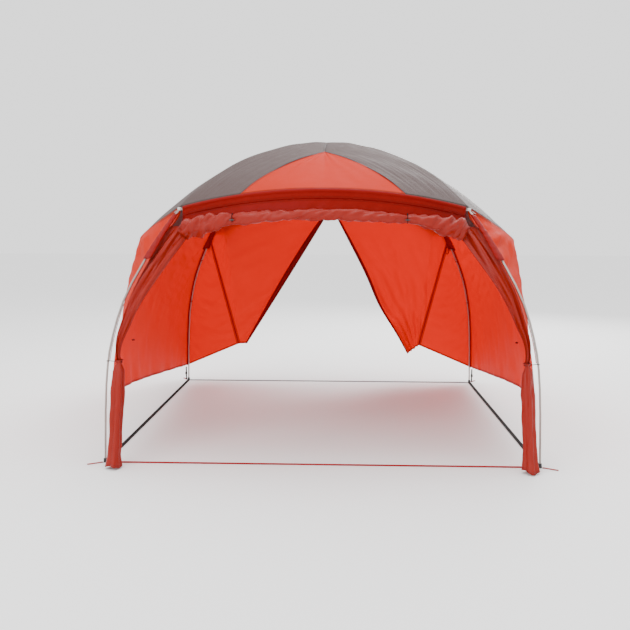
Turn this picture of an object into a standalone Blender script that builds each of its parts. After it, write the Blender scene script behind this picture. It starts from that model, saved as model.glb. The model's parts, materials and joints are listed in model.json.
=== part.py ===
"""Tarp shelter: crossed aluminium arch poles, brow poles, a two-colour roof, side walls,
tied-back rear flaps, a rolled-up front door and a frame of ground straps.

Metres, +Z up, the open front faces -Y, the origin is on the ground under the peak.
"""
import math

import bmesh
import bpy
from mathutils import Vector

# ---------------------------------------------------------------- driving dimensions
SPAN = 2.75                      # from foot to foot, both ways
HALF = SPAN / 2
ARCH = (                         # a pole's line: inset from its foot (x and y), height
    (0.000, 0.000), (0.005, 0.180), (0.019, 0.295), (0.057, 0.416),
    (0.152, 0.587), (0.250, 0.685), (0.370, 0.748), (0.500, 0.777),
)
SHOULDER = 4                     # index in ARCH of the joint with the brow poles
SHOULDER_INSET, SHOULDER_Z = (value * SPAN for value in ARCH[SHOULDER])
PEAK_Z = ARCH[-1][1] * SPAN
SHOULDER_XY = HALF - SHOULDER_INSET

POLE_R = 0.0068                  # outside radius of the arch poles
POLE_WALL = 0.0011
BROW_R = 0.0050                  # brow and eave poles

FRONT_BOW, FRONT_RISE = 0.102 * SPAN, 0.040 * SPAN
SIDE_BOW, SIDE_DROP = 0.175 * SPAN, 0.085 * SPAN

FABRIC = 0.003                   # solid stand-in for cloth
ROOF_LIFT = 0.014                # roof's underside above the pole's line
TRIANGLE_HALF = 0.192 * SPAN     # the orange roof triangle at the brow
TRIANGLE_START = 0.38            # its apex, as a share of the way from peak to brow
TRIANGLE_FLARE = 1.10            # how its sides curve
SEAM_GAP = 0.0006

SLEEVE_IN, SLEEVE_OUT = 0.0096, 0.0130
WALL_INSET = 0.030               # walls hang this far inside the front poles
REAR_OUTSET = 0.018              # and this far outside the rear poles
SIDE_BILLOW = 0.026 * SPAN       # the side walls belly out by this at mid height
HEM_REAR_Z, HEM_FRONT_Z = 0.053 * SPAN, 0.160 * SPAN

STRAP_W, STRAP_T, STRAP_Z = 0.028, 0.0020, 0.0008
LOOP_LENGTH = 0.100
LOOP_LEAN_FRONT, LOOP_LEAN_REAR = 0.550, 0.9280
CUP_R, CUP_BORE, CUP_H = 0.0110, 0.0082, 0.026
CORNERS = {"front_left": (-1, -1), "front_right": (1, -1), "rear_left": (-1, 1), "rear_right": (1, 1)}

# colours, roughness and metallic value
LOOKS = {
    "gray_cloth": ((0.270, 0.205, 0.195), 0.75, 0.0),
    "orange_cloth": ((0.780, 0.110, 0.045), 0.70, 0.0),
    "red_cloth": ((0.480, 0.010, 0.004), 0.70, 0.0),
    "roll_cloth": ((0.560, 0.075, 0.035), 0.70, 0.0),
    "aluminium": ((0.560, 0.530, 0.510), 0.32, 1.0),
    "plastic": ((0.030, 0.030, 0.032), 0.45, 0.0),
    "pale_plastic": ((0.550, 0.540, 0.530), 0.45, 0.0),
    "black_web": ((0.030, 0.016, 0.018), 0.85, 0.0),
    "red_web": ((0.300, 0.012, 0.014), 0.85, 0.0),
    "gray_web": ((0.240, 0.225, 0.230), 0.85, 0.0),
}


# ---------------------------------------------------------------- scene and helpers
def clear_scene():
    for item in list(bpy.data.objects):
        bpy.data.objects.remove(item, do_unlink=True)


clear_scene()
shelter = bpy.data.collections.new("tarp_shelter")
bpy.context.scene.collection.children.link(shelter)


def material(name, look):
    colour, roughness, metallic = LOOKS[look]
    made = bpy.data.materials.new(name)
    made.use_nodes = True
    shader = made.node_tree.nodes["Principled BSDF"]
    shader.inputs["Base Color"].default_value = (*colour, 1.0)
    shader.inputs["Roughness"].default_value = roughness
    shader.inputs["Metallic"].default_value = metallic
    made.diffuse_color = (*colour, 1.0)
    return made


def place(name, data, look, origin=(0, 0, 0)):
    made = bpy.data.objects.new(name, data)
    made.location = origin
    data.materials.append(material(name, look))
    shelter.objects.link(made)
    return made


def swept(name, points, radius, look, wall=None, origin=(0, 0, 0), radii=None, sides=2, closed=False):
    """A round bar along points, or a tube with the given wall."""
    data = bpy.data.curves.new(name, "CURVE")
    data.dimensions = "3D"
    data.bevel_depth = radius
    data.bevel_resolution = sides
    data.use_fill_caps = wall is None and not closed
    line = data.splines.new("POLY")
    line.points.add(len(points) - 1)
    line.use_cyclic_u = closed
    for index, point in enumerate(points):
        line.points[index].co = (*(Vector(point) - Vector(origin)), 1.0)
        line.points[index].radius = radii[index] if radii else 1.0
    made = place(name, data, look, origin)
    if wall is not None:
        shell = made.modifiers.new("wall", "SOLIDIFY")
        shell.thickness = wall
        shell.offset = -1.0
    return made


def cloth(name, rule, across, down, look, thickness=FABRIC, origin=(0, 0, 0)):
    """A sheet shaped by rule(u, v), with u and v from 0 to 1, given its thickness by Solidify."""
    data = bpy.data.meshes.new(name)
    shape = bmesh.new()
    bmesh.ops.create_grid(shape, x_segments=across, y_segments=down, size=0.5)
    for corner in shape.verts:
        corner.co = rule(corner.co.x + 0.5, corner.co.y + 0.5) - Vector(origin)
    shape.to_mesh(data)
    shape.free()
    made = place(name, data, look, origin)
    shell = made.modifiers.new("thickness", "SOLIDIFY")
    shell.thickness = thickness
    shell.offset = 0.0
    return made


def box(name, size, centre, look, turn=0.0, bevel=0.0, origin=None):
    data = bpy.data.meshes.new(name)
    shape = bmesh.new()
    bmesh.ops.create_cube(shape, size=1.0)
    bmesh.ops.scale(shape, vec=size, verts=shape.verts)
    if origin is not None:
        bmesh.ops.translate(shape, vec=Vector(centre) - Vector(origin), verts=shape.verts)
    shape.to_mesh(data)
    shape.free()
    made = place(name, data, look, origin if origin is not None else centre)
    made.rotation_euler.z = turn
    if bevel:
        edge = made.modifiers.new("bevel", "BEVEL")
        edge.width = bevel
        edge.segments = 2
    return made


def turned(name, profile, look, origin):
    """A turned shape: the profile at +X, from top to bottom, spun about Z."""
    data = bpy.data.meshes.new(name)
    shape = bmesh.new()
    ring = [shape.verts.new((radius, 0.0, height)) for radius, height in profile]
    for first, second in zip(ring, ring[1:]):
        shape.edges.new((first, second))
    shape.to_mesh(data)
    shape.free()
    made = place(name, data, look, origin)
    spin = made.modifiers.new("spin", "SCREW")
    spin.steps = 16
    spin.render_steps = 16
    spin.use_merge_vertices = True
    spin.merge_threshold = 0.0001
    return made


# ---------------------------------------------------------------- the frame's lines
def arch(step):
    """Inset and height of the pole's line at step 0 (foot) to len(ARCH) - 1 (peak)."""
    last = len(ARCH) - 1
    step = min(max(step, 0.0), float(last))
    knot = min(int(step), last - 1)
    part = step - knot
    around = [ARCH[min(max(knot + shift, 0), last)] for shift in (-1, 0, 1, 2)]
    if knot == last - 1:
        around[3] = (2 * HALF / SPAN - ARCH[last - 1][0], ARCH[last - 1][1])
    values = []
    for axis in (0, 1):
        before, start, end, after = (point[axis] for point in around)
        bend = (end - before) * part
        bend += (2 * before - 5 * start + 4 * end - after) * part ** 2
        bend += (3 * start - before - 3 * end + after) * part ** 3
        values.append((start + 0.5 * bend) * SPAN)
    return values


def arch_step(height):
    """The step at which the pole's line reaches a height."""
    low, high = 0.0, float(len(ARCH) - 1)
    for _ in range(40):
        middle = (low + high) / 2
        if arch(middle)[1] < height:
            low = middle
        else:
            high = middle
    return low


def pole_point(corner, step, inward=0.0):
    inset, height = arch(step)
    side_x, side_y = CORNERS[corner]
    reach = HALF - inset - inward
    return Vector((side_x * reach, side_y * reach, height))


def pole_run(corner, low, high, count):
    return [pole_point(corner, low + (high - low) * index / count) for index in range(count + 1)]


def brow_line(across, side):
    """The brow pole's line: across from -1 to 1, side -1 at the front and 1 at the rear."""
    bow = 1 - across ** 2
    return Vector((across * SHOULDER_XY, side * (SHOULDER_XY + FRONT_BOW * bow), SHOULDER_Z + FRONT_RISE * bow))


def eave_line(along, side):
    """The side eave's line: along from -1 at the front to 1 at the rear."""
    bow = 1 - along ** 2
    return Vector((side * (SHOULDER_XY + SIDE_BOW * bow), along * SHOULDER_XY, SHOULDER_Z - SIDE_DROP * bow))


def rim(turn):
    """The roof's rim by its turn: 0 at the front centre, 1 per quarter, positive to the right."""
    quarter = round(turn)
    share = (turn - quarter) * 2
    if quarter % 4 == 0:
        return brow_line(share, -1)
    if quarter % 4 == 1:
        return eave_line(share, 1)
    if quarter % 4 == 2:
        return brow_line(-share, 1)
    return eave_line(-share, -1)


def roof_point(turn, out, lift=ROOF_LIFT):
    """A point of the roof: turn as for rim, out from 0 at the peak to 1 at the rim."""
    edge = rim(turn)
    drop = PEAK_Z - edge.z
    off_ridge = abs((turn % 1.0) - 0.5) * 2
    stretched = PEAK_Z - drop * out ** 1.3
    reach = out * SHOULDER_XY
    low, high = float(SHOULDER), float(len(ARCH) - 1)
    for _ in range(30):
        middle = (low + high) / 2
        if HALF - arch(middle)[0] > reach:
            low = middle
        else:
            high = middle
    ridge = PEAK_Z - (PEAK_Z - arch(low)[1]) * drop / (PEAK_Z - SHOULDER_Z)
    blend = (1 - off_ridge) ** 0.8
    height = stretched * (1 - blend) + max(ridge, stretched) * blend if blend < 1 else ridge
    return Vector((edge.x * out, edge.y * out, height + lift))


# ---------------------------------------------------------------- poles
HUB_REACH = 0.036                # where the ridge poles end, from the peak


def near(step, shift):
    """A step moved along the pole by a length in metres."""
    first = Vector((*arch(step - 0.01), 0))
    second = Vector((*arch(step + 0.01), 0))
    run = math.hypot((second.x - first.x) * math.sqrt(2), second.y - first.y) / 0.02
    return step + shift / run


def build_poles():
    foot = arch_step(0.006)
    for corner in CORNERS:
        section_ends = (
            ("leg_pole_", foot, near(SHOULDER, -0.016), 12),
            ("ridge_pole_", near(SHOULDER, 0.016), near(len(ARCH) - 1.02, -HUB_REACH), 9),
        )
        for name, low, high, count in section_ends:
            swept(name + corner, pole_run(corner, low, high, count), POLE_R, "aluminium", wall=POLE_WALL)
    for name, side in (("brow_pole_front", -1), ("brow_pole_rear", 1)):
        reach = 1 - 0.022 / SHOULDER_XY
        line = [brow_line(reach * (index / 6 - 1), side) for index in range(13)]
        swept(name, line, BROW_R, "aluminium")
    for name, side in (("eave_pole_left", -1), ("eave_pole_right", 1)):
        reach = 1 - 0.026 / SHOULDER_XY
        line = [eave_line(reach * (index / 6 - 1), side) for index in range(13)]
        swept(name, line, BROW_R, "aluminium")


def build_fittings():
    box("peak_hub", (0.050, 0.050, 0.026), (0, 0, PEAK_Z - 0.010), "pale_plastic", math.pi / 4, 0.004)
    for corner, (side_x, side_y) in CORNERS.items():
        box("shoulder_joint_" + corner, (0.026, 0.026, 0.020), pole_point(corner, SHOULDER),
            "pale_plastic", math.pi / 4, 0.003)
        rim_profile = ((CUP_BORE, CUP_H), (CUP_R, CUP_H), (CUP_R + 0.002, 0.0), (0.0, 0.0), (0.0, 0.0045),
                       (CUP_BORE, 0.0045), (CUP_BORE, CUP_H))
        turned("foot_cup_" + corner, rim_profile, "plastic", pole_point(corner, 0))


def build_straps():
    gap = CUP_R + 0.003
    long_side = SPAN - 2 * gap
    short_side = SPAN - STRAP_W - 0.006
    height = STRAP_Z + STRAP_T / 2
    box("ground_strap_front", (long_side, STRAP_W, STRAP_T), (0, -HALF, height), "red_web")
    box("ground_strap_rear", (long_side, STRAP_W, STRAP_T), (0, HALF, height), "gray_web")
    box("ground_strap_left", (STRAP_W, short_side, STRAP_T), (-HALF, 0, height), "black_web")
    box("ground_strap_right", (STRAP_W, short_side, STRAP_T), (HALF, 0, height), "black_web")
    for corner, (side_x, side_y) in CORNERS.items():
        lean = LOOP_LEAN_FRONT if side_y < 0 else LOOP_LEAN_REAR
        away = Vector((side_x * math.cos(lean), side_y * math.sin(lean), 0))
        pivot = Vector((side_x * HALF, side_y * HALF, height + 0.0008)) + away * gap
        middle = pivot + Vector((LOOP_LENGTH / 2 + 0.002, 0, 0))
        loop = box("stake_loop_" + corner, (LOOP_LENGTH, 0.014, 0.0024), middle, "red_web", origin=pivot)
        loop.rotation_euler.z = math.atan2(away.y, away.x)


# ---------------------------------------------------------------- roof
def triangle_turn(out, side):
    """Turn of the gray and orange seam at a share of the way out, for the front (0) or rear (2)."""
    if out <= TRIANGLE_START:
        return 0.0
    share = TRIANGLE_HALF * ((out - TRIANGLE_START) / (1 - TRIANGLE_START)) ** TRIANGLE_FLARE / out
    return 0.5 * share / SHOULDER_XY


def gray_panel(side):
    quarters = (5, 6, 5)

    def rule(u, v):
        out = 0.012 + (0.995 - 0.012) * v
        seam = triangle_turn(out, side)
        knots = (seam, 0.5, 1.5, 2.0 - seam)
        place_along = u * sum(quarters)
        start = 0
        for index, count in enumerate(quarters):
            if place_along <= start + count + 1e-6:
                share = (place_along - start) / count
                turn = knots[index] + (knots[index + 1] - knots[index]) * share
                break
            start += count
        point = roof_point(side * turn, out)
        point.x += side * SEAM_GAP
        return point

    return rule, sum(quarters)


def triangle_panel(start_turn):
    def rule(u, v):
        out = TRIANGLE_START + 0.02 + (0.995 - TRIANGLE_START - 0.02) * v
        half = max(triangle_turn(out, 1) - 0.0012 / out, 0.0006)
        point = roof_point(start_turn + (2 * u - 1) * half, out)
        return point

    return rule


def build_roof():
    for name, side in (("roof_panel_left", -1), ("roof_panel_right", 1)):
        rule, across = gray_panel(side)
        cloth(name, rule, across, 9, "gray_cloth")
    cloth("roof_triangle_front", triangle_panel(0.0), 6, 6, "orange_cloth")
    cloth("roof_triangle_rear", triangle_panel(2.0), 6, 6, "orange_cloth")


# ---------------------------------------------------------------- brow, walls and flaps
BROW_REACH = 1 - 0.050 / SHOULDER_XY
VALANCE_TOP, VALANCE_DROP = -0.016, 0.040 * SPAN


def valance(side, top, bottom, reach=BROW_REACH):
    def rule(u, v):
        point = brow_line((2 * u - 1) * reach, side)
        point.z += top + (bottom - top) * v
        return point

    return rule


def build_brows():
    for name, side in (("front", -1), ("rear", 1)):
        line = [brow_line(BROW_REACH * (index / 6 - 1), side) for index in range(13)]
        swept("brow_sleeve_" + name, line, 0.0105, "red_cloth", wall=0.0030)
    cloth("wall_band_front", valance(-1, VALANCE_TOP, -VALANCE_DROP), 12, 1, "red_cloth")
    low, high = arch_step(0.4705 * SPAN), near(SHOULDER, -0.055)
    for corner in CORNERS:
        swept("leg_sleeve_" + corner, pole_run(corner, low, high, 7), SLEEVE_OUT, "red_cloth",
              wall=SLEEVE_OUT - SLEEVE_IN)


def hem_height(y):
    share = (y + HALF) / SPAN
    return HEM_FRONT_Z + (HEM_REAR_Z - HEM_FRONT_Z) * share


def side_wall(side):
    def rule(u, v):
        along = 2 * u - 1
        top = eave_line(along * 0.985, side).z - 0.016
        bottom = hem_height(along * (HALF - WALL_INSET))
        height = top + (bottom - top) * v
        inset = arch(arch_step(height))[0]
        inside = WALL_INSET - (WALL_INSET + REAR_OUTSET) * u
        edge = HALF - inset - inside
        bulge = SHOULDER_XY + SIDE_BOW - HALF + inside
        eave_height = SHOULDER_Z - SIDE_DROP
        middle = HALF - inside + bulge * min(height / eave_height, 1.15) ** 1.5
        middle += SIDE_BILLOW * math.sin(math.pi * min(height / eave_height, 1.0))
        out = edge + (middle - edge) * (1 - along ** 2)
        return Vector((side * out, along * edge, height))

    return rule


FOLD_TOP = Vector((0.401 * SPAN, 0.408 * SPAN, 0.500 * SPAN))
FOLD_FOOT = Vector((0.320 * SPAN, 0.505 * SPAN, 0.132 * SPAN))
FLAP_TIP = {
    -1: Vector((0.290 * SPAN, 0.506 * SPAN, 0.134 * SPAN)),
    1: Vector((0.280 * SPAN, 0.506 * SPAN, 0.101 * SPAN)),
}
FLAP_APEX = {}
for way, apex_x in ((-1, -0.006 * SPAN), (1, 0.012 * SPAN)):
    FLAP_APEX[way] = Vector((apex_x, SHOULDER_XY + FRONT_BOW, SHOULDER_Z + FRONT_RISE - 0.050))
FOLD_GAP = 0.004


def rear_side(side):
    """The rear wall between the leg and the fold line."""
    def rule(u, v):
        height = FOLD_TOP.z + (hem_height(HALF) - FOLD_TOP.z) * v
        inset = arch(arch_step(height))[0]
        reach = HALF - inset + REAR_OUTSET - 0.006
        leg = Vector((reach, reach + 0.012, height))
        fold = FOLD_TOP.lerp(FOLD_FOOT, v)
        point = leg.lerp(fold, u * 0.985)
        return Vector((side * point.x, point.y, point.z))

    return rule


def rear_flap(side):
    """The free triangle between the fold line, the brow and the tied tip."""
    def rule(u, v):
        fold = FOLD_TOP.lerp(FOLD_FOOT, v) + Vector((-FOLD_GAP * 3, 0.002, 0))
        free = FLAP_APEX[side].lerp(FLAP_TIP[side], v)
        point = fold.lerp(free, u)
        point.z += (FLAP_APEX[side].z - FOLD_TOP.z) * (1 - u - (1 - u) ** 3) * (1 - v) ** 2
        return Vector((side * point.x, point.y, point.z))

    return rule


def build_walls():
    for name, side in (("side_wall_left", -1), ("side_wall_right", 1)):
        cloth(name, side_wall(side), 10, 7, "orange_cloth")
    for name, side in (("left", -1), ("right", 1)):
        cloth("rear_wall_" + name, rear_side(side), 3, 6, "orange_cloth")
        hinge = Vector((side * FOLD_TOP.x, FOLD_TOP.y, FOLD_TOP.z))
        cloth("rear_flap_" + name, rear_flap(side), 5, 6, "orange_cloth", origin=hinge)


# ---------------------------------------------------------------- rolled-up door and gathers
ROLL_R = 0.035
ROLL_HINGE = Vector((0, -1.200, 1.630))
ROLL_SPAN = 0.985
ROLL_SAG = 0.045                 # the roll's ends hang lower by this
ROLL_TIES = (-0.600, 0.560)


def roll_line(across):
    point = brow_line(across, -1)
    radius = ROLL_R * roll_fullness(across)
    point.z -= (VALANCE_DROP + 0.004) * (1 - 0.85 * abs(across) ** 4) + radius
    point.z -= ROLL_SAG * max((abs(across) - 0.60) / 0.40, 0.0) ** 2
    point.y -= radius + 0.022
    return point


def roll_fullness(across):
    return 1.0 + 0.9 * min(max((abs(across) - 0.62) / 0.26, 0.0), 1.0)


def build_roll():
    stations = [ROLL_SPAN * (index / 10 - 1) for index in range(21)]
    swept("door_roll", [roll_line(across) for across in stations], ROLL_R, "roll_cloth",
          origin=ROLL_HINGE, radii=[roll_fullness(across) for across in stations])
    for name, across in zip(("left", "right"), ROLL_TIES):
        middle = roll_line(across)
        circle = []
        for index in range(12):
            turn = 2 * math.pi * index / 12
            reach = ROLL_R * roll_fullness(across) + 0.013
            circle.append(middle + Vector((0, reach * math.cos(turn), reach * math.sin(turn))))
        swept("roll_tie_" + name, circle, 0.0028, "black_web", origin=ROLL_HINGE, sides=1, closed=True)


def gather(side):
    """The drape inside a front leg, from the sleeve down to the gathering tie."""
    top, low = 0.503 * SPAN, 0.250 * SPAN

    def rule(u, v):
        height = top + (low - top) * v
        inset = arch(arch_step(height))[0]
        reach = HALF - inset - WALL_INSET - 0.012
        width = 0.018 + 0.150 * (1 - v) ** 0.8
        return Vector((side * (reach - width * u), -reach - 0.045 + 0.012 * math.sin(3 * math.pi * u), height))

    return rule


def build_gathers():
    for name, side in (("left", -1), ("right", 1)):
        cloth("gathered_drape_" + name, gather(side), 4, 8, "roll_cloth")
        top = Vector((side * 0.466 * SPAN, -0.487 * SPAN, 0.236 * SPAN))
        low = Vector((side * 0.466 * SPAN, -0.520 * SPAN, 0.050))
        line = [top.lerp(low, index / 6) for index in range(7)]
        radii = [0.36, 0.85, 1.0, 1.0, 0.95, 1.0, 1.12]
        swept("gathered_tube_" + name, line, 0.038, "roll_cloth", radii=radii)
        ring = []
        middle = top + Vector((0, 0, 0.012))
        for index in range(12):
            turn = 2 * math.pi * index / 12
            ring.append(middle + Vector((0.021 * math.cos(turn), 0.021 * math.sin(turn), 0)))
        swept("gather_tie_" + name, ring, 0.0025, "black_web", sides=1, closed=True)


def build_rear_hardware():
    for name, side in (("left", -1), ("right", 1)):
        foot = Vector((side * (HALF + 0.022), HALF - 0.004, 0.0))
        top = hem_height(HALF) - 0.012
        box("hem_web_" + name, (0.012, 0.0016, top - 0.006), (foot.x, foot.y, (top + 0.006) / 2), "black_web")
        frame_height = 0.070
        box("ladder_lock_" + name, (0.020, 0.008, 0.026), (foot.x, foot.y - 0.0056, frame_height),
            "plastic", 0.0, 0.0015)
    pivot = Vector((FOLD_TOP.x - 0.010, FOLD_TOP.y - 0.058, FOLD_TOP.z - 0.050))
    circle = []
    for index in range(14):
        turn = 2 * math.pi * index / 14
        circle.append(pivot + Vector((0.014 * math.sin(turn), 0, -0.034 + 0.034 * math.cos(turn))))
    swept("hanging_loop", circle, 0.0022, "black_web", origin=pivot, sides=1, closed=True)


build_poles()
build_fittings()
build_straps()
build_roof()
build_brows()
build_walls()
build_roll()
build_gathers()
build_rear_hardware()
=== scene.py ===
"""Looks of the tarp shelter: cloth, webbing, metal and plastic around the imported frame."""
import json
import math
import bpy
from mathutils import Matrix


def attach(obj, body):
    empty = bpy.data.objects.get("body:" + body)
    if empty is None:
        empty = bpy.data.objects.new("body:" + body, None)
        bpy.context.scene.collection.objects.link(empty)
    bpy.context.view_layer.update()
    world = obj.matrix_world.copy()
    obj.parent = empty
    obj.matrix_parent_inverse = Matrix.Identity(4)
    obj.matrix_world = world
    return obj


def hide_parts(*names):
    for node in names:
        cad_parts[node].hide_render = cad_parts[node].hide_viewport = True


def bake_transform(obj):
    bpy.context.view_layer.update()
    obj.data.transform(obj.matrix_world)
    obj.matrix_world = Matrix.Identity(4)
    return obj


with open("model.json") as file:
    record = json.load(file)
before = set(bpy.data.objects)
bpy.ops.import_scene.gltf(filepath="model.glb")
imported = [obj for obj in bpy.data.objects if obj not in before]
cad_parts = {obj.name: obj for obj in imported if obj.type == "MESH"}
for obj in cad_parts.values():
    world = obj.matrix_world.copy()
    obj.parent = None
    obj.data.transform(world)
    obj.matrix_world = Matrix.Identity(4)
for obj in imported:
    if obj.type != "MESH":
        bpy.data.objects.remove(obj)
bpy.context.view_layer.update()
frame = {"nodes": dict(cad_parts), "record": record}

import bmesh
import bpy
import numpy as np
from mathutils import Matrix, Vector

# ---------------------------------------------------------------- sizes from the frame
FOOT = next(mount for mount in frame["record"]["mounts"] if mount["name"] == "foot_front_right")
HALF = FOOT["pos_m"][0]
SPAN = 2 * HALF
ARCH = (                         # a pole's line: inset from its foot (x and y), height
    (0.000, 0.000), (0.005, 0.180), (0.019, 0.295), (0.057, 0.416),
    (0.152, 0.587), (0.250, 0.685), (0.370, 0.748), (0.500, 0.777),
)
SHOULDER = 4
SHOULDER_INSET, SHOULDER_Z = (value * SPAN for value in ARCH[SHOULDER])
PEAK_Z = ARCH[-1][1] * SPAN
SHOULDER_XY = HALF - SHOULDER_INSET
FRONT_BOW, FRONT_RISE = 0.102 * SPAN, 0.040 * SPAN
SIDE_BOW, SIDE_DROP = 0.175 * SPAN, 0.085 * SPAN
ROOF_LIFT = 0.014
TRIANGLE_HALF = 0.192 * SPAN
TRIANGLE_START = 0.38
TRIANGLE_FLARE = 1.10
WALL_INSET = 0.030               # walls hang this far inside the front poles
REAR_OUTSET = 0.018              # and this far outside the rear poles
SIDE_BILLOW = 0.026 * SPAN
HEM_REAR_Z, HEM_FRONT_Z = 0.053 * SPAN, 0.160 * SPAN
SLEEVE_LOW_Z = 0.4705 * SPAN
BAND_DROP = 0.040 * SPAN         # the wall band's lower edge, under the brow pole
SLEEVE_TAIL = 0.052              # the brow sleeve's sewn edge, under the brow pole
REAR_SKIRT, REAR_SKIRT_END = 0.062, 0.120
REAR_TOP_RISE = 0.200            # the rear wall climbs this far up the pole above the fold
FOLD_TOP = Vector((0.401 * SPAN, 0.408 * SPAN, 0.500 * SPAN))
FOLD_FOOT = Vector((0.320 * SPAN, 0.505 * SPAN, 0.132 * SPAN))
FLAP_TIP = {
    -1: Vector((0.290 * SPAN, 0.506 * SPAN, 0.134 * SPAN)),
    1: Vector((0.280 * SPAN, 0.506 * SPAN, 0.101 * SPAN)),
}
FLAP_APEX = {}
for way, apex_x in ((-1, -0.006 * SPAN), (1, 0.012 * SPAN)):
    FLAP_APEX[way] = Vector((apex_x, SHOULDER_XY + FRONT_BOW, SHOULDER_Z + FRONT_RISE - 0.050))
ROLL_R = 0.035
ROLL_SPAN = 0.985
ROLL_SAG = 0.045
ROLL_TIES = (-0.600, 0.560)
CLOTH = 0.0008
SEAM_ALLOWANCE = 0.0040          # the triangle reaches under the gray panels by this share of a turn
CORNERS = {"front_left": (-1, -1), "front_right": (1, -1), "rear_left": (-1, 1), "rear_right": (1, 1)}
SIDES = (("left", -1), ("right", 1))
SHELTER = "shelter"

# ---------------------------------------------------------------- camera
CAMERA_PLACE = Vector((0.121, -6.211, 1.482))
CAMERA_LENS, CAMERA_SENSOR = 44.87, 36.0
CAMERA_TURN, CAMERA_TILT, CAMERA_ROLL = -0.0332, 0.1089, 0.0031


def make_camera():
    data = bpy.data.cameras.new("camera")
    data.lens = CAMERA_LENS
    data.sensor_width = CAMERA_SENSOR
    flat = math.cos(CAMERA_TILT)
    ahead = Vector((math.sin(CAMERA_TURN) * flat, math.cos(CAMERA_TURN) * flat, -math.sin(CAMERA_TILT)))
    level = Vector((math.cos(CAMERA_TURN), -math.sin(CAMERA_TURN), 0))
    above = level.cross(ahead)
    right = math.cos(CAMERA_ROLL) * level + math.sin(CAMERA_ROLL) * above
    top = math.cos(CAMERA_ROLL) * above - math.sin(CAMERA_ROLL) * level
    turn = Matrix((right, top, -ahead)).transposed()
    camera = bpy.data.objects.new("camera", data)
    camera.matrix_world = Matrix.Translation(CAMERA_PLACE) @ turn.to_4x4()
    bpy.context.scene.collection.objects.link(camera)
    bpy.context.scene.camera = camera


make_camera()


# ---------------------------------------------------------------- materials
def rgb(red, green, blue):
    """A linear colour from display values of 0 to 255, none of them under 11."""
    return tuple(((value / 255 + 0.055) / 1.055) ** 2.4 for value in (red, green, blue))


class Nodes:
    """Short calls for building a material's node tree."""

    def __init__(self, name):
        self.material = bpy.data.materials.new(name)
        self.material.use_nodes = True
        self.tree = self.material.node_tree
        self.tree.nodes.clear()
        self.out = self.tree.nodes.new("ShaderNodeOutputMaterial")

    def add(self, kind, values=None, **settings):
        node = self.tree.nodes.new(kind)
        for key, value in settings.items():
            setattr(node, key, value)
        for key, value in (values or {}).items():
            if isinstance(value, bpy.types.NodeSocket):
                self.tree.links.new(value, node.inputs[key])
            else:
                node.inputs[key].default_value = value
        return node

    def math(self, operation, first, second=0.0, third=0.0):
        return self.add("ShaderNodeMath", {0: first, 1: second, 2: third}, operation=operation).outputs[0]

    def noise(self, vector, scale, detail=3.0):
        values = {"Vector": vector, "Scale": scale, "Detail": detail}
        return self.add("ShaderNodeTexNoise", values).outputs["Fac"]

    def wave(self, value, period):
        """A wave from 0 to 1 along a length in metres."""
        turn = self.math("MULTIPLY", value, 2 * math.pi / period)
        return self.math("MULTIPLY_ADD", self.math("SINE", turn), 0.5, 0.5)

    def mix(self, factor, first, second):
        node = self.add("ShaderNodeMix", data_type="RGBA")
        for socket, value in ((node.inputs[0], factor), (node.inputs[6], first), (node.inputs[7], second)):
            if isinstance(value, bpy.types.NodeSocket):
                self.tree.links.new(value, socket)
            elif socket.type == "RGBA":
                socket.default_value = (*value, 1.0)
            else:
                socket.default_value = value
        return node.outputs[2]

    def finish(self, shader):
        self.tree.links.new(shader, self.out.inputs["Surface"])
        return self.material


def shade(colour, amount):
    return tuple(min(max(value * amount, 0.0), 1.0) for value in colour)


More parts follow.
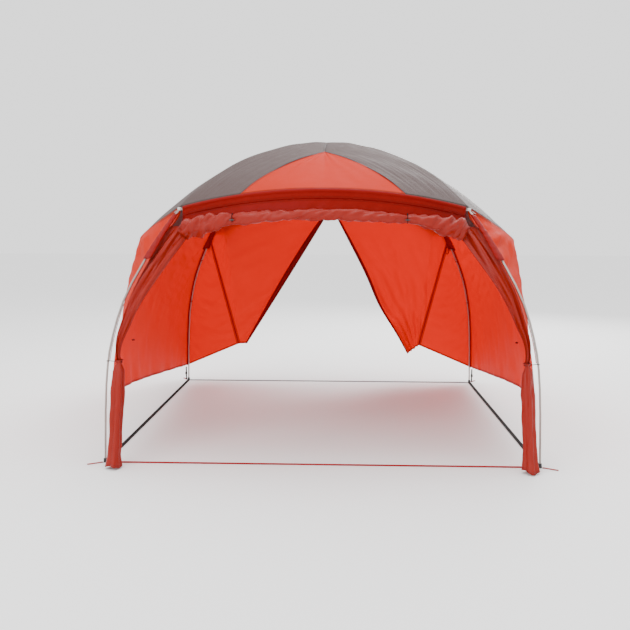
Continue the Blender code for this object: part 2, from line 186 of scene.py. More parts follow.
def cloth_material(name, colour, glow, through, roughness=0.52, gloss=0.13):
    """Coated ripstop cloth: weave, seams with stitching, painted shade on the doubled hems, slight fading,
    and light through it.
    """
    nodes = Nodes(name)
    place = nodes.add("ShaderNodeTexCoord").outputs["Object"]
    uv = nodes.add("ShaderNodeUVMap", uv_map="cloth").outputs["UV"]
    parts = nodes.add("ShaderNodeSeparateXYZ", {0: uv})
    across, along = parts.outputs["X"], parts.outputs["Y"]
    seam = nodes.add("ShaderNodeAttribute", attribute_name="seam").outputs["Fac"]
    run = nodes.add("ShaderNodeAttribute", attribute_name="run").outputs["Fac"]
    hem = nodes.math("LESS_THAN", seam, 0.018)
    row_one = nodes.math("LESS_THAN", nodes.math("ABSOLUTE", nodes.math("SUBTRACT", seam, 0.005)), 0.0009)
    row_two = nodes.math("LESS_THAN", nodes.math("ABSOLUTE", nodes.math("SUBTRACT", seam, 0.014)), 0.0009)
    dash = nodes.math("GREATER_THAN", nodes.wave(run, 0.007), 0.30)
    stitch = nodes.math("MULTIPLY", nodes.math("MAXIMUM", row_one, row_two), dash)
    grid_across = nodes.math("GREATER_THAN", nodes.wave(across, 0.0060), 0.93)
    grid_along = nodes.math("GREATER_THAN", nodes.wave(along, 0.0060), 0.93)
    ripstop = nodes.math("MAXIMUM", grid_across, grid_along)
    weave = nodes.math("MULTIPLY", nodes.wave(across, 0.0011), nodes.wave(along, 0.0011))
    fade = nodes.noise(place, 2.2)
    grime = nodes.noise(place, 14.0, 5.0)
    base = nodes.mix(nodes.math("MULTIPLY", fade, 0.55), shade(colour, 0.88), shade(colour, 1.10))
    base = nodes.mix(nodes.math("MULTIPLY", grime, 0.14), base, shade(colour, 0.62))
    # painted shade: the doubled hem is drawn darker, for the less light that comes through two layers
    base = nodes.mix(nodes.math("MULTIPLY", hem, 0.30), base, shade(colour, 0.60))
    base = nodes.mix(nodes.math("MULTIPLY", stitch, 0.75), base, shade(colour, 0.40))
    height = nodes.math("MULTIPLY_ADD", ripstop, 0.5, nodes.math("MULTIPLY", weave, 0.25))
    height = nodes.math("MULTIPLY_ADD", hem, 1.2, height)
    height = nodes.math("MULTIPLY_ADD", stitch, -1.5, height)
    crease = nodes.noise(place, 9.0, 6.0)
    height = nodes.math("MULTIPLY_ADD", crease, 7.0, height)
    bump = nodes.add("ShaderNodeBump", {"Strength": 0.45, "Distance": 0.0008, "Height": height}).outputs[0]
    rough = nodes.math("MULTIPLY_ADD", grime, 0.16, roughness - 0.08)
    face = nodes.add("ShaderNodeBsdfPrincipled", {
        "Base Color": base, "Roughness": rough, "Normal": bump, "Specular IOR Level": gloss})
    light = nodes.mix(nodes.math("MULTIPLY", hem, 0.55), glow, shade(glow, 0.35))
    lit = nodes.add("ShaderNodeBsdfTranslucent", {"Color": light, "Normal": bump})
    both = nodes.add("ShaderNodeMixShader", {0: through, 1: face.outputs[0], 2: lit.outputs[0]})
    return nodes.finish(both.outputs[0])


def webbing_material(name, colour):
    """Woven strap: ribs across, soft ends of yarn, a little dust."""
    nodes = Nodes(name)
    place = nodes.add("ShaderNodeTexCoord").outputs["Object"]
    parts = nodes.add("ShaderNodeSeparateXYZ", {0: place})
    slant = nodes.math("ADD", parts.outputs["X"], parts.outputs["Y"])
    slope = nodes.math("SUBTRACT", parts.outputs["X"], parts.outputs["Y"])
    rib = nodes.math("MULTIPLY", nodes.wave(slant, 0.0034), nodes.wave(slope, 0.0034))
    dust = nodes.noise(place, 40.0, 5.0)
    base = nodes.mix(nodes.math("MULTIPLY", rib, 0.5), shade(colour, 0.75), shade(colour, 1.35))
    base = nodes.mix(nodes.math("MULTIPLY", dust, 0.05), base, (0.20, 0.18, 0.16))
    height = nodes.math("MULTIPLY_ADD", dust, 0.4, rib)
    bump = nodes.add("ShaderNodeBump", {"Strength": 0.7, "Distance": 0.0006, "Height": height}).outputs[0]
    face = nodes.add("ShaderNodeBsdfPrincipled", {
        "Base Color": base, "Roughness": 0.85, "Normal": bump, "Specular IOR Level": 0.15})
    return nodes.finish(face.outputs[0])


def metal_material(name, colour):
    nodes = Nodes(name)
    place = nodes.add("ShaderNodeTexCoord").outputs["Object"]
    drawn = nodes.add("ShaderNodeMapping", {"Vector": place, "Scale": (60, 60, 4)}).outputs[0]
    scratch = nodes.noise(drawn, 3.0, 6.0)
    wear = nodes.noise(place, 7.0, 5.0)
    base = nodes.mix(nodes.math("MULTIPLY", wear, 0.5), colour, shade(colour, 0.72))
    rough = nodes.math("MULTIPLY_ADD", scratch, 0.22, 0.22)
    bump = nodes.add("ShaderNodeBump", {"Strength": 0.15, "Distance": 0.0002, "Height": scratch}).outputs[0]
    face = nodes.add("ShaderNodeBsdfPrincipled", {
        "Base Color": base, "Roughness": rough, "Metallic": 0.55, "Normal": bump})
    return nodes.finish(face.outputs[0])


def plastic_material(name, colour, roughness):
    nodes = Nodes(name)
    place = nodes.add("ShaderNodeTexCoord").outputs["Object"]
    grain = nodes.noise(place, 900.0, 2.0)
    scuff = nodes.noise(place, 45.0, 6.0)
    base = nodes.mix(nodes.math("MULTIPLY", scuff, 0.35), colour, shade(colour, 1.5))
    rough = nodes.math("MULTIPLY_ADD", scuff, 0.25, roughness - 0.10)
    bump = nodes.add("ShaderNodeBump", {"Strength": 0.25, "Distance": 0.0002, "Height": grain}).outputs[0]
    face = nodes.add("ShaderNodeBsdfPrincipled", {"Base Color": base, "Roughness": rough, "Normal": bump})
    return nodes.finish(face.outputs[0])


MATERIALS = {
    "gray_cloth": cloth_material("gray roof cloth", (0.088, 0.058, 0.055), (0.12, 0.06, 0.05), 0.10),
    "orange_cloth": cloth_material("orange cloth", (0.600, 0.036, 0.008), (0.98, 0.075, 0.002), 0.52),
    # the dark red cloth of the sleeves and flap facings also paints the shade on the wall band under the brow
    "red_cloth": cloth_material("dark red cloth and painted band shade", (0.270, 0.0012, 0.0004), (0.45, 0.002, 0.0004), 0.20),
    "roll_cloth": cloth_material(
        "rolled cloth", (0.340, 0.011, 0.003), (0.60, 0.014, 0.002), 0.24, roughness=0.36, gloss=0.30),
    "pole_aluminium": metal_material("drawn aluminium", rgb(164, 152, 146)),
    "joint_plastic": plastic_material("pale joint plastic", rgb(196, 192, 188), 0.45),
    "foot_plastic": plastic_material("black plastic", rgb(30, 29, 30), 0.45),
    "red_webbing": webbing_material("red webbing", (0.400, 0.004, 0.007)),
    "gray_webbing": webbing_material("gray webbing", rgb(62, 58, 62)),
    "black_webbing": webbing_material("black webbing", (0.0060, 0.0030, 0.0034)),
}

for part in frame["record"]["subparts"]:
    node = frame["nodes"][part["node"]]
    node.data.materials.clear()
    node.data.materials.append(MATERIALS[part["material_slot"]])
    if "pole" in part["node"]:
        node.data.polygons.foreach_set("use_smooth", [True] * len(node.data.polygons))


# ---------------------------------------------------------------- lines of the frame
def arch_table(count=1401):
    """Inset and height along a pole's line, from the foot to the peak."""
    last = len(ARCH) - 1
    rows = []
    for step in np.linspace(0, last, count):
        knot = min(int(step), last - 1)
        part = step - knot
        around = [ARCH[min(max(knot + shift, 0), last)] for shift in (-1, 0, 1, 2)]
        if knot == last - 1:
            around[3] = (1 - ARCH[last - 1][0], ARCH[last - 1][1])
        row = []
        for axis in (0, 1):
            before, start, end, after = (point[axis] for point in around)
            bend = (end - before) * part
            bend += (2 * before - 5 * start + 4 * end - after) * part ** 2
            bend += (3 * start - before - 3 * end + after) * part ** 3
            row.append((start + 0.5 * bend) * SPAN)
        rows.append(row)
    return np.array(rows)


ARCH_TABLE = arch_table()
RISING = np.maximum.accumulate(ARCH_TABLE[:, 1])


def inset_at(height):
    return np.interp(height, RISING, ARCH_TABLE[:, 0])


def ridge_z(reach):
    return np.interp(HALF - reach, np.maximum.accumulate(ARCH_TABLE[:, 0]), ARCH_TABLE[:, 1])


def brow_line(across, side):
    bow = 1 - across ** 2
    return across * SHOULDER_XY, side * (SHOULDER_XY + FRONT_BOW * bow), SHOULDER_Z + FRONT_RISE * bow


def eave_line(along, side):
    bow = 1 - along ** 2
    return side * (SHOULDER_XY + SIDE_BOW * bow), along * SHOULDER_XY, SHOULDER_Z - SIDE_DROP * bow


def rim(turn):
    quarter = np.round(turn)
    share = (turn - quarter) * 2
    quarter = np.mod(quarter, 4)
    lines = (brow_line(share, -1), eave_line(share, 1), brow_line(-share, 1), eave_line(-share, -1))
    return [np.choose(quarter.astype(int), [line[axis] for line in lines]) for axis in range(3)]


def roof_point(turn, out, lift=ROOF_LIFT):
    edge_x, edge_y, edge_z = rim(turn)
    drop = PEAK_Z - edge_z
    off_ridge = np.abs(np.mod(turn, 1.0) - 0.5) * 2
    stretched = PEAK_Z - drop * out ** 1.3
    ridge = PEAK_Z - (PEAK_Z - ridge_z(out * SHOULDER_XY)) * drop / (PEAK_Z - SHOULDER_Z)
    blend = (1 - off_ridge) ** 0.8
    height = stretched * (1 - blend) + np.maximum(ridge, stretched) * blend
    return edge_x * out, edge_y * out, height + lift


def triangle_turn(out):
    beyond = np.maximum(out - TRIANGLE_START, 0.0) / (1 - TRIANGLE_START)
    share = TRIANGLE_HALF * beyond ** TRIANGLE_FLARE / np.maximum(out, 0.01)
    return np.where(out <= TRIANGLE_START, 0.0, 0.5 * share / SHOULDER_XY)


def hem_height(y):
    return HEM_FRONT_Z + (HEM_REAR_Z - HEM_FRONT_Z) * (y + HALF) / SPAN


# ---------------------------------------------------------------- cloth
def ripples(across, along, seed, size, stretch=3.0, angle=0.0, modes=18):
    """Smooth wrinkles from about -1 to 1: size across them in metres, stretch times longer, at an angle."""
    draw = np.random.RandomState(seed)
    first = across * math.cos(angle) + along * math.sin(angle)
    second = along * math.cos(angle) - across * math.sin(angle)
    total = np.zeros_like(across)
    for _ in range(modes):
        pitch = size * draw.uniform(0.6, 1.9)
        long_pitch = size * stretch * draw.uniform(0.8, 2.0)
        sign = draw.choice((-1.0, 1.0))
        phase = draw.uniform(0, 2 * math.pi)
        total += np.cos(2 * math.pi * (first / pitch + sign * second / long_pitch) + phase)
    total /= math.sqrt(modes)
    return np.sign(total) * np.abs(total) ** 0.8


def sheet_object(name, points, edges="lrtb", smooth=True):
    """A cloth mesh through a grid of points, rows by columns, with its seams and lengths as attributes."""
    rows, columns = points.shape[:2]
    data = bpy.data.meshes.new(name)
    shape = bmesh.new()
    bmesh.ops.create_grid(shape, x_segments=columns - 1, y_segments=rows - 1, size=0.5)
    shape.to_mesh(data)
    shape.free()
    flat = np.zeros(len(data.vertices) * 3)
    data.vertices.foreach_get("co", flat)
    flat = flat.reshape(-1, 3)
    column = np.rint((flat[:, 0] + 0.5) * (columns - 1)).astype(int)
    row = np.rint((flat[:, 1] + 0.5) * (rows - 1)).astype(int)
    data.vertices.foreach_set("co", points[row, column].ravel())
    across = np.zeros((rows, columns))
    across[:, 1:] = np.cumsum(np.linalg.norm(np.diff(points, axis=1), axis=2), axis=1)
    down = np.zeros((rows, columns))
    down[1:] = np.cumsum(np.linalg.norm(np.diff(points, axis=0), axis=2), axis=0)
    seams = {"l": across, "r": across[:, -1:] - across, "t": down, "b": down[-1:] - down}
    distance = np.full((rows, columns), 9.0)
    run = np.zeros((rows, columns))
    for edge in edges:
        nearer = seams[edge] < distance
        distance = np.where(nearer, seams[edge], distance)
        run = np.where(nearer, down if edge in "lr" else across, run)
    for label, values in (("seam", distance), ("run", run)):
        attribute = data.attributes.new(label, "FLOAT", "POINT")
        attribute.data.foreach_set("value", values[row, column].astype(np.float32))
    layer = data.uv_layers.new(name="cloth")
    corner = np.zeros(len(data.loops), int)
    data.loops.foreach_get("vertex_index", corner)
    uv = np.stack([across[row, column][corner], down[row, column][corner]], axis=1)
    layer.data.foreach_set("uv", uv.ravel())
    if smooth:
        data.polygons.foreach_set("use_smooth", [True] * len(data.polygons))
    made = bpy.data.objects.new(name, data)
    bpy.context.scene.collection.objects.link(made)
    return made


def normals(points):
    along = np.gradient(points, axis=0)
    across = np.gradient(points, axis=1)
    out = np.cross(across, along)
    length = np.linalg.norm(out, axis=2, keepdims=True)
    return out / np.maximum(length, 1e-9)


def grid(rows, columns):
    share = np.meshgrid(np.linspace(0, 1, columns), np.linspace(0, 1, rows))
    return share[0], share[1]


def drape(name, rule, rows, columns, slot, body=SHELTER, stands_for=(), wrinkle=None, edges="lrtb"):
    """One cloth piece: rule gives its points from u and v, wrinkle gives how far it stands off them."""
    u, v = grid(rows, columns)
    points = np.stack(np.broadcast_arrays(*rule(u, v)), axis=2).astype(float)
    across = np.zeros((rows, columns))
    across[:, 1:] = np.cumsum(np.linalg.norm(np.diff(points, axis=1), axis=2), axis=1)
    down = np.zeros((rows, columns))
    down[1:] = np.cumsum(np.linalg.norm(np.diff(points, axis=0), axis=2), axis=0)
    if wrinkle is not None:
        points = points + normals(points) * wrinkle(u, v, across, down)[:, :, None]
    made = sheet_object(name, points, edges)
    made.data.materials.append(MATERIALS[slot])
    shell = made.modifiers.new("thickness", "SOLIDIFY")
    shell.thickness = CLOTH
    shell.offset = 0.0
    if body is not None:
        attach(made, body)
    if stands_for:
        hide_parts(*stands_for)
    return made


def cord(name, points, radius, slot, body=SHELTER, closed=False, stands_for=()):
    """A sewn-on or tied tape or cord, held along its length."""
    data = bpy.data.curves.new(name, "CURVE")
    data.dimensions = "3D"
    data.bevel_depth = radius
    data.bevel_resolution = 3
    data.use_fill_caps = not closed
    line = data.splines.new("NURBS")
    line.points.add(len(points) - 1)
    for index, point in enumerate(points):
        line.points[index].co = (*point, 1.0)
    line.use_cyclic_u = closed
    line.use_endpoint_u = not closed
    line.order_u = 3
    made = bpy.data.objects.new(name, data)
    data.materials.append(MATERIALS[slot])
    bpy.context.scene.collection.objects.link(made)
    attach(made, body)
    if stands_for:
        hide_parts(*stands_for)
    return made


# ---------------------------------------------------------------- roof
def fade_in(share, width):
    """0 at both ends of a share from 0 to 1, rising to 1 over width."""
    return np.clip(share / width, 0, 1) * np.clip((1 - share) / width, 0, 1)


def build_roof():
    for name, side in SIDES:
        def gray(u, v, side=side):
            out = 0.002 + (1.003 - 0.002) * v
            seam = triangle_turn(out)
            near = seam + (0.5 - seam) * u / 0.3
            far = 1.5 + (2.0 - seam - 1.5) * (u - 0.7) / 0.3
            turn = np.where(u < 0.3, near, np.where(u < 0.7, 0.5 + (u - 0.3) / 0.4, far))
            return roof_point(side * turn, out)

        def gray_wrinkle(u, v, across, down, side=side):
            fan = ripples(u * 3.2, v * 0.35, 11 + side, 0.11, 5.0)
            soft = ripples(across, down, 21 + side, 0.34, 1.6)
            return (0.0014 * fan * v + 0.0022 * soft) * fade_in(v, 0.12)

        drape("roof_cloth_" + name, gray, 64, 151, "gray_cloth",
              stands_for=("roof_panel_" + name,), wrinkle=gray_wrinkle, edges="lrb")
    for name, start in (("front", 0.0), ("rear", 2.0)):
        def orange(u, v, start=start):
            out = TRIANGLE_START - 0.016 + (1.003 - TRIANGLE_START + 0.016) * v
            half = triangle_turn(out) + SEAM_ALLOWANCE / out
            return roof_point(start + (2 * u - 1) * half, out, ROOF_LIFT - 0.0012)

        def orange_wrinkle(u, v, across, down, start=start):
            held_in = fade_in(v, 0.15) * fade_in(u, 0.15)
            return 0.0016 * ripples(u * 0.8, down, 31 + int(start), 0.14, 5.0) * held_in

        drape("roof_triangle_cloth_" + name, orange, 48, 61, "orange_cloth",
              stands_for=("roof_triangle_" + name,), wrinkle=orange_wrinkle)


# ---------------------------------------------------------------- brow, bands and sleeves
def teardrop(u, tail, radius=0.0128, gap=0.0016):
    """Section of a pole sleeve, from the top of the loop to its sewn tail: outward and up offsets."""
    turn = (u - 0.5) * 2
    round_part = np.clip(np.abs(turn) / 0.45, 0, 1) * math.radians(150)
    straight = np.clip((np.abs(turn) - 0.45) / 0.55, 0, 1)
    out = radius * np.sin(round_part) * (1 - straight) + gap * straight
    up = radius * np.cos(round_part) * (1 - straight) - tail * straight
    return np.sign(turn) * out, up


def build_brows():
    reach = 1 - 0.020 / SHOULDER_XY
    for name, side in (("front", -1), ("rear", 1)):
        def sleeve(u, v, side=side):
            x, y, z = brow_line((2 * v - 1) * reach, side)
            share = np.abs(2 * v - 1)
            tail = SLEEVE_TAIL if side < 0 else REAR_SKIRT + REAR_SKIRT_END * share ** 4
            out, up = teardrop(u, tail)
            flare = 0.0 if side < 0 else 0.55 * np.maximum(-up - 0.010, 0.0) * share ** 4
            sideways = np.sign(2 * v - 1) * flare
            return x + sideways, y + out + flare, z + up

        def pucker(u, v, across, down, side=side):
            return 0.0012 * ripples(down, across, 41 + side, 0.05, 2.0) * np.abs(2 * u - 1)

        drape("brow_sleeve_cloth_" + name, sleeve, 161, 25, "red_cloth",
              stands_for=("brow_sleeve_" + name,), wrinkle=pucker, edges="lr")

    def band(u, v):
        x, y, z = brow_line((2 * u - 1) * reach, -1)
        return x, y - 0.030 * v ** 1.5, z - SLEEVE_TAIL + 0.006 - (BAND_DROP + 0.048 - SLEEVE_TAIL) * v

    def band_wrinkle(u, v, across, down):
        return 0.0026 * ripples(across, down, 45, 0.10, 2.5, 0.5) * np.clip(v * 1.5, 0, 1)

    # painted shade: the wall's upper band under the brow pole is drawn in the dark red cloth, for the shade
    # the brow casts there
    drape("wall_band_painted_shade_cloth", band, 14, 141, "red_cloth", stands_for=("wall_band_front",),
          wrinkle=band_wrinkle, edges="tb")
    for corner, (side_x, side_y) in CORNERS.items():
        def sleeve(u, v, side_x=side_x, side_y=side_y):
            height = SLEEVE_LOW_Z + (SHOULDER_Z - 0.030 - SLEEVE_LOW_Z) * v
            reach_in = HALF - inset_at(height)
            turn = 2 * math.pi * u
            wide = (0.040 - 0.020 * v) * np.cos(turn) - (0.016 if side_y < 0 else 0.0) * (1 - v)
            thick = 0.0150 * np.sign(np.sin(turn)) * np.abs(np.sin(turn)) ** 0.6
            x = side_x * (reach_in + thick * 0.7 + wide * 0.7)
            y = side_y * (reach_in + thick * 0.7 - wide * 0.7)
            return x, y, height - thick * 0.35

        def creases(u, v, across, down, side_x=side_x, side_y=side_y):
            return 0.0012 * ripples(down, across, 50 + side_x + 3 * side_y, 0.04, 2.0, 0.6)

        drape("leg_sleeve_cloth_" + corner, sleeve, 40, 33, "red_cloth",
              stands_for=("leg_sleeve_" + corner,), wrinkle=creases, edges="tb")


# ---------------------------------------------------------------- walls and flaps
FACING_W = {-1: 0.062, 1: 0.030}  # the turned-back edge of a rear flap


def free_edge(v, side):
    """The free edge of a rear flap, from the brow to its tied tip, as if on the right."""
    free = [FLAP_APEX[side][axis] + (FLAP_TIP[side][axis] - FLAP_APEX[side][axis]) * v for axis in range(3)]
    if side > 0:
        free[0] = free[0] - 0.030 * np.exp(-(((v - 0.66) / 0.16) ** 2))
    return free


def flap_top(u, side):
    """The flap's upper edge: up the rear pole from the fold, then along the rear brow."""
    start, end = FOLD_TOP, FLAP_APEX[side]
    x = start.x + (end.x - start.x) * u
    brow_x, brow_y, brow_z = brow_line(np.minimum(x, SHOULDER_XY) / SHOULDER_XY, 1)
    up = np.clip((start.x - x) / (start.x - SHOULDER_XY), 0, 1)
    last = brow_z - 0.050 + (FLAP_APEX[side].z - (SHOULDER_Z + FRONT_RISE - 0.050)) * u
    z = np.where(x > SHOULDER_XY, start.z + (SHOULDER_Z - 0.050 - start.z) * up, last)
    y = np.where(x > SHOULDER_XY, start.y + (SHOULDER_XY - start.y) * up, brow_y)
    return x, y, z


def bend_flap(piece):
    """The flap, shaped as sewn to the brow, has its placement baked into its mesh."""
    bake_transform(piece)


def build_walls():
    for name, side in SIDES:
        def wall(u, v, side=side):
            along = 2 * u - 1
            eave_x, eave_y, eave_z = eave_line(along, 1)
            bottom = hem_height(along * (HALF - WALL_INSET)) - 0.130 * np.exp(-(u / 0.115) ** 2)
            top = eave_z + 0.009
            height = top + (bottom - top) * v
            inside = WALL_INSET - (WALL_INSET + REAR_OUTSET) * u
            edge = HALF - inset_at(height) - inside
            bulge = SHOULDER_XY + SIDE_BOW - HALF + inside
            share = height / (SHOULDER_Z - SIDE_DROP)
            middle = HALF - inside + bulge * np.minimum(share, 1.15) ** 1.5
            middle = middle + SIDE_BILLOW * np.sin(math.pi * np.minimum(share, 1.0))
            out = edge + (middle - edge) * (1 - along ** 2)
            near_top = np.clip(1 - v / 0.10, 0, 1) ** 2
            out = out * (1 - near_top) + (eave_x + 0.008) * near_top
            y = along * edge * (1 - near_top) + along * (SHOULDER_XY - 0.002) * near_top
            return side * out, y, height

        def wall_wrinkle(u, v, across, down, side=side):
            corner = np.exp(-(((u - 0.06) / 0.22) ** 2 + ((v - 0.10) / 0.30) ** 2))
            back = np.exp(-(((u - 0.95) / 0.20) ** 2 + ((v - 0.12) / 0.34) ** 2))
            low = np.exp(-(((u - 0.96) / 0.16) ** 2 + ((v - 0.95) / 0.30) ** 2))
            pull = 0.0080 * corner * ripples(across, down, 61 + side, 0.080, 5.0, 0.9)
            pull = pull + 0.0075 * back * ripples(across, down, 64 + side, 0.090, 5.0, -0.9)
            pull = pull + 0.0060 * low * ripples(across, down, 66 + side, 0.080, 6.0, 0.8)
            slack = 0.0055 * ripples(across, down, 67 + side, 0.42, 2.0, 0.35)
            slack = slack + 0.0030 * ripples(across, down, 68 + side, 0.17, 4.0, 0.9)
            return (pull + slack) * np.clip(v / 0.08, 0, 1) * fade_in(u, 0.05)

        drape("side_wall_cloth_" + name, wall, 74, 121, "orange_cloth",
              stands_for=("side_wall_" + name,), wrinkle=wall_wrinkle)

        def rear(u, v, side=side):
            height = FOLD_TOP.z + REAR_TOP_RISE * (1 - u) + (hem_height(HALF) - FOLD_TOP.z) * v
            height = height - REAR_TOP_RISE * (1 - u) * v
            reach_in = HALF - inset_at(height) + REAR_OUTSET
            fold = [FOLD_TOP[axis] + (FOLD_FOOT[axis] - FOLD_TOP[axis]) * v for axis in range(3)]
            x = reach_in + (fold[0] - reach_in) * u
            y = reach_in + (fold[1] - reach_in) * u
            return side * x, y, height + (fold[2] - height) * u

        def rear_wrinkle(u, v, across, down, side=side):
            held_in = fade_in(u, 0.15) * fade_in(v, 0.08)
            return 0.0045 * ripples(across, down, 71 + side, 0.12, 3.5, 1.1) * held_in

        drape("rear_wall_cloth_" + name, rear, 64, 31, "orange_cloth",
              stands_for=("rear_wall_" + name,), wrinkle=rear_wrinkle)

        def flap(u, v, side=side):
            fold = [FOLD_TOP[axis] + (FOLD_FOOT[axis] - FOLD_TOP[axis]) * v for axis in range(3)]
            free = free_edge(v, side)
            point = [fold[axis] + (free[axis] - fold[axis]) * u for axis in range(3)]
            straight = [FOLD_TOP[axis] + (FLAP_APEX[side][axis] - FOLD_TOP[axis]) * u for axis in range(3)]
            top = flap_top(u, side)
            stay = (1 - v) ** 2
            point = [point[axis] + (top[axis] - straight[axis]) * stay for axis in range(3)]
            return side * point[0], point[1] + 0.002 * (1 - u), point[2]

        def flap_wrinkle(u, v, across, down, side=side):
            if side < 0:
                held_in = fade_in(u, 0.10) * fade_in(v, 0.10)
                return 0.0050 * ripples(across, down, 81, 0.22, 4.0, 1.25) * held_in
            pleat = ripples(u * 0.42, down, 85, 0.090, 7.0, 0.12)
            held_in = fade_in(u, 0.08) * np.clip(v / 0.1, 0, 1)
            return (0.0100 * pleat * np.clip(v * 1.6, 0, 1) + 0.003) * held_in

        swinging = drape("rear_flap_cloth_" + name, flap, 84, 61, "orange_cloth", body=None,
                         stands_for=("rear_flap_" + name,), wrinkle=flap_wrinkle)
        bend_flap(swinging)

        def facing(u, v, side=side):
            width = FACING_W[side] * (0.25 + 0.75 * np.sin(np.pi * np.clip(v, 0.02, 0.98) ** 0.7))
            free = free_edge(v, side)
            inward = width * (2 * u - 1) * 0.5 + width * 0.38
            return side * (free[0] + inward), free[1] - 0.016 - 0.010 * np.sin(np.pi * v), free[2] + 0.0 * u

        folded = drape("flap_facing_" + name, facing, 84, 9, "red_cloth", body=None, edges="lr")
        bend_flap(folded)
        tape = [Vector((side * FOLD_TOP.x, FOLD_TOP.y - 0.002, FOLD_TOP.z)).lerp(
            Vector((side * FOLD_FOOT.x, FOLD_FOOT.y - 0.002, FOLD_FOOT.z)), index / 8) for index in range(9)]
        cord("fold_tape_" + name, tape, 0.0042, "red_webbing")


# ---------------------------------------------------------------- rolled door
def roll_fullness(across):
    return 1.0 + 0.9 * np.clip((np.abs(across) - 0.62) / 0.26, 0.0, 1.0)


def roll_line(across):
    x, y, z = brow_line(across, -1)
    radius = ROLL_R * roll_fullness(across)
    sag = ROLL_SAG * np.maximum((np.abs(across) - 0.60) / 0.40, 0.0) ** 2
    return x, y - radius - 0.022, z - (BAND_DROP + 0.004) * (1 - 0.85 * np.abs(across) ** 4) - radius - sag


def build_roll():
    turns = 4.0

    def roll(u, v):
        across = ROLL_SPAN * (2 * v - 1)
        x, y, z = roll_line(across)
        pinch = 1.0
        for tie in ROLL_TIES:
            pinch = pinch - 0.26 * np.exp(-(((across - tie) / 0.035) ** 2))
        pinch = pinch - 0.10 * np.exp(-((across / 0.22) ** 2)) + 0.08 * np.sin(9.0 * across + 0.6)
        outer = ROLL_R * roll_fullness(across) * pinch
        outer = outer * np.clip((1.012 - np.abs(2 * v - 1)) / 0.05, 0.30, 1.0)
        radius = 0.006 + (outer - 0.006) * u ** 0.62
        turn = 2 * math.pi * turns * u - 0.8
        twist = turn + 2.4 * np.sin(2.6 * across) + 0.6 * np.sin(7.0 * across)
        lobes = 1 + 0.10 * np.sin(2 * twist + 6 * across) + 0.07 * np.sin(3 * twist - 11 * across)
        lobes = lobes + 0.05 * np.sin(5 * twist + 17 * across)
        slump = np.where(np.sin(turn) < 0, 1.12, 0.94)
        return x + 0.0 * u, y + radius * lobes * np.cos(turn), z + radius * lobes * np.sin(turn) * slump

    def roll_wrinkle(u, v, across, down):
        ends = np.clip((np.abs(2 * v - 1) - 0.60) / 0.25, 0, 1)
        spiral = ripples(v * 1.9, u * 0.9, 91, 0.065, 4.0, 0.75)
        spiral = spiral + 0.6 * ripples(v * 1.9, u * 0.9, 92, 0.030, 5.0, 0.9)
        return (0.0036 + 0.0050 * ends) * spiral * np.clip((u - 0.70) / 0.12, 0, 1)

    drape("rolled_door", roll, 221, 121, "roll_cloth", body="door_roll",
          stands_for=("door_roll",), wrinkle=roll_wrinkle, edges="lrtb")
    for name, place in zip(("left", "right"), ROLL_TIES):
        x, y, z = (float(value) for value in roll_line(np.array(place)))
        reach = ROLL_R * float(roll_fullness(np.array(place))) * 0.88
        around = [2 * math.pi * step / 16 for step in range(16)]
        circle = [(x, y + reach * math.cos(turn), z + 1.04 * reach * math.sin(turn)) for turn in around]
        cord("roll_loop_" + name, circle, 0.0024, "black_webbing", body="door_roll", closed=True,
             stands_for=("roll_tie_" + name,))
        toggle = [(x - 0.014, y - reach - 0.004, z - 0.010), (x, y - reach - 0.006, z - 0.010),
                  (x + 0.014, y - reach - 0.004, z - 0.010)]
        cord("roll_toggle_" + name, toggle, 0.0045, "foot_plastic", body="door_roll")


# ---------------------------------------------------------------- gathered cloth on the front legs
TIE_X, TIE_Y, TIE_Z = 0.466 * SPAN, -0.487 * SPAN, 0.2385 * SPAN - 0.010


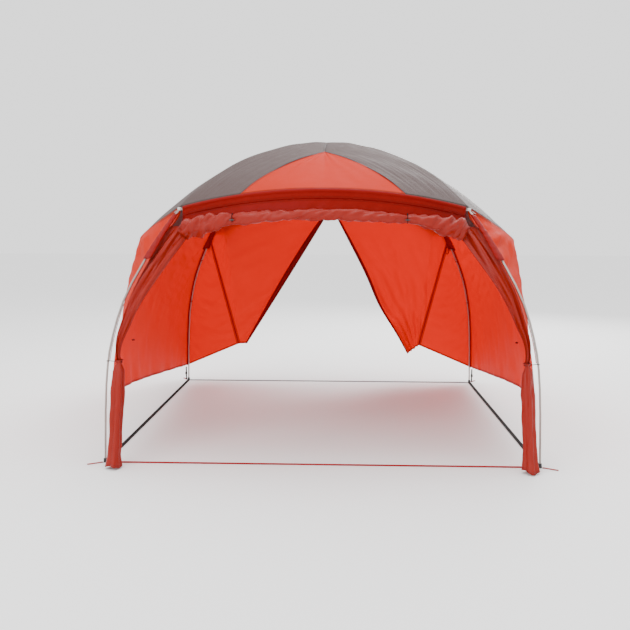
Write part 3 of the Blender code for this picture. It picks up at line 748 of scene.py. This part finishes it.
def build_gathers():
    top, low = 0.545 * SPAN, TIE_Z
    for name, side in SIDES:
        def hanging(u, v, side=side):
            height = top + (low - top) * v
            reach_in = HALF - inset_at(height) - WALL_INSET + 0.010 * (1 - v)
            width = 0.026 + 0.150 * (1 - v) ** 0.9
            out = reach_in - width * u
            depth = 0.030 + 0.022 * v + 0.45 * width * u
            y = -(reach_in - 0.010) - depth * (0.25 + 0.75 * v)
            meet = np.clip((v - 0.72) / 0.28, 0, 1) ** 1.5
            out = out + (TIE_X + 0.014 * (1 - 2 * u) - out) * meet
            y = y + (TIE_Y + 0.004 * np.sin(6.0 * u) - y) * meet
            return side * out, y, height

        def pleats(u, v, across, down, side=side):
            lines = np.sin(2 * math.pi * (2.1 * u + 0.22 * np.sin(3 * v + side) + 0.1))
            lines = np.sign(lines) * np.abs(lines) ** 0.75
            fine = ripples(u * 0.30, down, 101 + side, 0.06, 8.0)
            return (0.0155 * lines * (1 - 0.75 * v) + 0.004 * fine) * np.clip(v / 0.12, 0, 1)

        drape("gathered_drape_cloth_" + name, hanging, 96, 57, "roll_cloth",
              stands_for=("gathered_drape_" + name,), wrinkle=pleats)

        def strip(u, v, side=side):
            height = top - 0.02 + (low + 0.03 - top) * v
            reach_in = HALF - inset_at(height)
            out = reach_in - 0.016 + 0.010 * (1 - u)
            back = 0.010 + 0.026 * u * (1 - 0.6 * v)
            return side * out, -(reach_in - 0.004) - back * 0.6 + 0.018 * (1 - u), height

        drape("leg_strip_" + name, strip, 60, 9, "orange_cloth", edges="lr")

        def tube(u, v, side=side):
            start = Vector((side * 0.466 * SPAN, -0.487 * SPAN, 0.2385 * SPAN))
            end = Vector((side * 0.468 * SPAN, -0.546 * SPAN, 0.008))
            centre = [start[axis] + (end[axis] - start[axis]) * v for axis in range(3)]
            turn = 2 * math.pi * u
            radius = np.interp(v, (0, 0.03, 0.10, 0.30, 0.70, 0.90, 1.0),
                               (0.024, 0.013, 0.030, 0.038, 0.035, 0.038, 0.047))
            folds = 0.13 * np.sin(4 * turn + 1.2 * v + side) + 0.05 * np.sin(7 * turn - 1.6 * v)
            folds = folds + 0.05 * np.sin(2 * turn + 3 * v)
            radius = radius * (1 + folds)
            hem = (0.009 * np.sin(2 * turn + side) + 0.007) * v ** 6
            return centre[0] + radius * np.cos(turn), centre[1] + radius * np.sin(turn) * 1.1, centre[2] + hem

        def crumple(u, v, across, down, side=side):
            held_in = fade_in(u, 0.04) * fade_in(v, 0.05)
            return 0.0020 * ripples(u * 0.22, down, 111 + side, 0.110, 3.0, 0.4) * held_in

        drape("gathered_tube_cloth_" + name, tube, 96, 73, "roll_cloth",
              stands_for=("gathered_tube_" + name,), wrinkle=crumple, edges="tb")
        tie = Vector((side * 0.466 * SPAN, -0.487 * SPAN, 0.2385 * SPAN - 0.012))
        pole = HALF - float(inset_at(tie.z))
        ring = []
        for turn_count in (0.0, 1.0):
            for step in range(12):
                turn = 2 * math.pi * step / 12
                ring.append((tie.x + 0.0175 * math.cos(turn), tie.y + 0.0175 * math.sin(turn),
                             tie.z + 0.006 * (turn_count + step / 12) - 0.006))
        cord("gather_cord_" + name, ring, 0.0026, "black_webbing", stands_for=("gather_tie_" + name,))
        link = [Vector((tie.x + side * 0.018, tie.y, tie.z)).lerp(
            Vector((side * (pole - 0.007), -pole + 0.004, tie.z + 0.006)), step / 3) for step in range(4)]
        cord("gather_link_" + name, link, 0.0022, "black_webbing")
        loop = [(side * pole + 0.0082 * math.cos(2 * math.pi * step / 12),
                 -pole + 0.0082 * math.sin(2 * math.pi * step / 12), tie.z + 0.006) for step in range(12)]
        cord("pole_loop_front_" + name, loop, 0.0022, "black_webbing", closed=True)


def ring_round_pole(side, front, height, radius, count=12):
    """Points of a ring round a pole, at the front (-1) or the rear (1)."""
    reach_in = HALF - float(inset_at(height))
    around = [2 * math.pi * step / count for step in range(count)]
    return [(side * reach_in + radius * math.cos(turn), front * reach_in + radius * math.sin(turn), height)
            for turn in around]


def build_rear_details():
    for name, side in SIDES:
        for label, height in (("low", 0.285 * SPAN), ("high", 0.430 * SPAN)):
            reach_in = HALF - float(inset_at(height))
            cord("pole_clip_%s_%s" % (label, name), ring_round_pole(side, 1, height, 0.0095), 0.0034,
                 "red_webbing", closed=True)
            tab = [(side * (reach_in + 0.008), reach_in + 0.008, height),
                   (side * (reach_in + 0.012), reach_in + 0.012, height - 0.003),
                   (side * (reach_in + 0.016), reach_in + 0.016, height - 0.006)]
            cord("pole_clip_tab_%s_%s" % (label, name), tab, 0.0038, "red_webbing")
        height = SHOULDER_Z - 0.075
        cord("shoulder_clip_" + name, ring_round_pole(side, 1, height, 0.0100), 0.0042,
             "foot_plastic", closed=True)
        seam = []
        for step in range(13):
            height = hem_height(HALF) + (FOLD_TOP.z + REAR_TOP_RISE - hem_height(HALF)) * step / 12
            reach_in = HALF - float(inset_at(height)) + REAR_OUTSET
            seam.append((side * reach_in, reach_in, height))
        cord("corner_tape_" + name, seam, 0.0048, "red_webbing")
        knot = Vector((side * (HALF - 0.030), -HALF + 0.62, 0.70))
        bow = [knot + Vector((0, 0.014 * step, 0.006 * math.sin(2.4 * step))) for step in range(-2, 3)]
        cord("wall_tie_" + name, bow, 0.0034, "black_webbing")


def build_studio():
    data = bpy.data.meshes.new("floor")
    shape = bmesh.new()
    bmesh.ops.create_grid(shape, x_segments=1, y_segments=1, size=40)
    shape.to_mesh(data)
    shape.free()
    floor = bpy.data.objects.new("floor", data)
    floor.location.z = -0.001
    nodes = Nodes("pale floor")
    place = nodes.add("ShaderNodeTexCoord").outputs["Object"]
    cloudy = nodes.math("MULTIPLY", nodes.noise(place, 3.0), 0.1)
    base = nodes.mix(cloudy, (0.94, 0.94, 0.94), (0.92, 0.92, 0.92))
    face = nodes.add("ShaderNodeBsdfPrincipled", {"Base Color": base, "Roughness": 0.9})
    data.materials.append(nodes.finish(face.outputs[0]))
    bpy.context.scene.collection.objects.link(floor)
    world = bpy.data.worlds.new("studio")
    world.use_nodes = True
    world.node_tree.nodes["Background"].inputs[0].default_value = (1.0, 1.0, 1.0, 1.0)
    world.node_tree.nodes["Background"].inputs[1].default_value = 1.70
    bpy.context.scene.world = world
    for name, place, size, power in (("key", (-3.5, -6.0, 5.5), 4.0, 240), ("top", (0.5, 0.5, 6.5), 5.0, 300),
                                     ("back", (3.0, 6.0, 4.5), 4.0, 360)):
        lamp = bpy.data.lights.new(name, "AREA")
        lamp.size = size
        lamp.energy = power
        holder = bpy.data.objects.new(name, lamp)
        holder.location = place
        aim = Vector((0, 0, 1.0)) - Vector(place)
        holder.rotation_euler = aim.to_track_quat("-Z", "Y").to_euler()
        bpy.context.scene.collection.objects.link(holder)


build_roof()
build_brows()
build_walls()
build_roll()
build_gathers()
build_rear_details()
build_studio()
